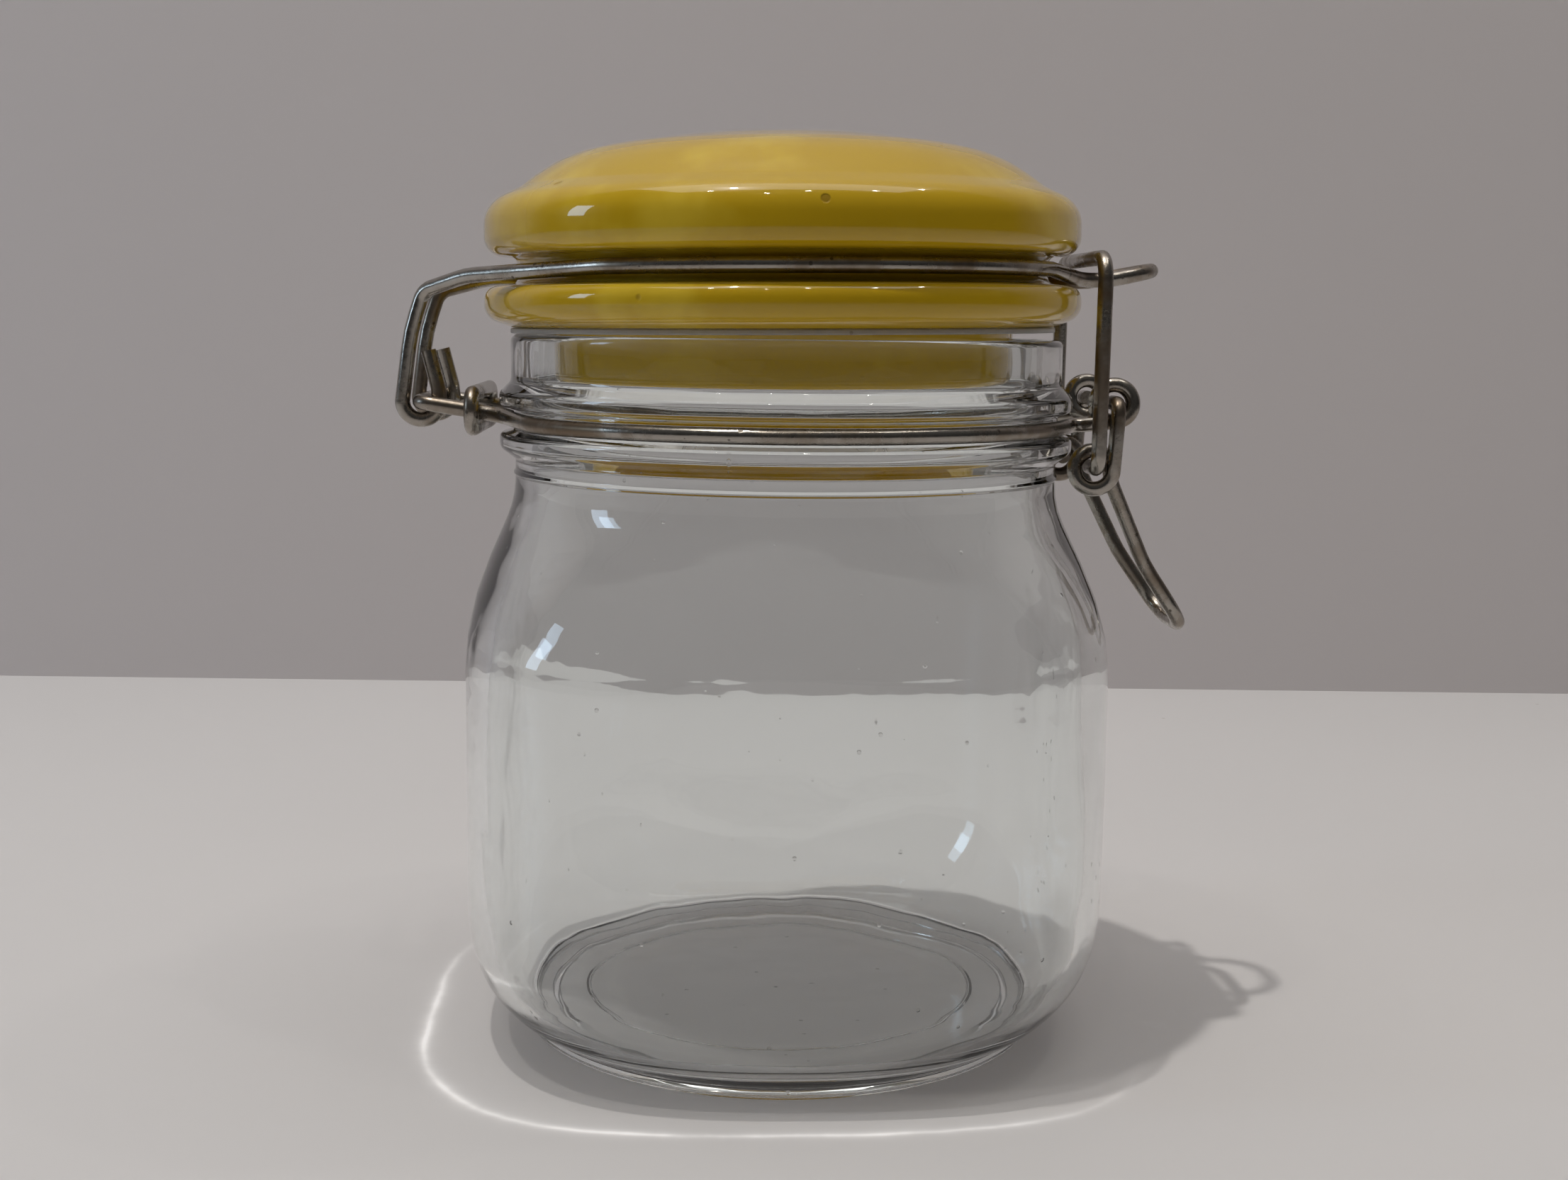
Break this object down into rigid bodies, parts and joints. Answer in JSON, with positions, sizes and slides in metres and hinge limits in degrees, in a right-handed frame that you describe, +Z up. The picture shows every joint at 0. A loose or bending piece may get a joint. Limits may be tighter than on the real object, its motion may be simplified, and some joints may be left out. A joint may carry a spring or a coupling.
{
  "type": "clamp-top storage jar",
  "caption": "Square glass storage jar with a domed glazed ceramic lid, clear gasket, wire bail hinge and over-centre wire clamp",
  "frame": {"origin": "under the middle of the closed jar's box, on the plane it stands on; the jar's own axis is at x = -2.275 mm", "axes": "+Z up, along the jar's axis; -X towards the hinge; +X towards the latch; -Y is the front seen with the hinge on the left"},
  "size_m": [0.1351, 0.108, 0.1522],
  "materials": {
    "clear_glass": "clear pressed soda-lime glass, glossy",
    "yellow_glaze": "glossy amber-yellow glaze over ceramic, opaque, small pits and specks",
    "steel_wire": "drawn steel wire, dull, tarnished brown in places",
    "clear_silicone": "clear silicone, satin"
  },
  "bodies": {
    "jar": {"glass_jar": "clear_glass", "neck_wire": "steel_wire", "tie_ring": "steel_wire"},
    "bail": {"bail_wire": "steel_wire"},
    "lid": {"ceramic_lid": "yellow_glaze", "lid_gasket": "clear_silicone"},
    "lever": {"lever": "steel_wire"},
    "link": {"latch_link": "steel_wire"}
  },
  "joints": [
    {"name": "lid_lift", "type": "hinge", "parent": "jar", "child": "bail", "pos_m": [-0.06327, 0, 0.1073], "axis": [0, -1, 0], "range_deg": [0, 180]},
    {"name": "lid_spin", "type": "hinge", "parent": "bail", "child": "lid", "pos_m": [-0.00298, 0, 0.1272], "axis": [-0.0122, 0, 0.9999], "continuous": true},
    {"name": "lever_swing", "type": "hinge", "parent": "jar", "child": "lever", "pos_m": [0.05223, 0, 0.1081], "axis": [0, -1, 0], "range_deg": [0, 120]},
    {"name": "link_swing", "type": "hinge", "parent": "lever", "child": "link", "pos_m": [0.04843, 0, 0.09742], "axis": [0, -1, 0], "range_deg": [-99, 0]}
  ],
  "couplings": [
    {"joint": "link_swing", "follows": "lever_swing", "ratio": -0.82}
  ]
}
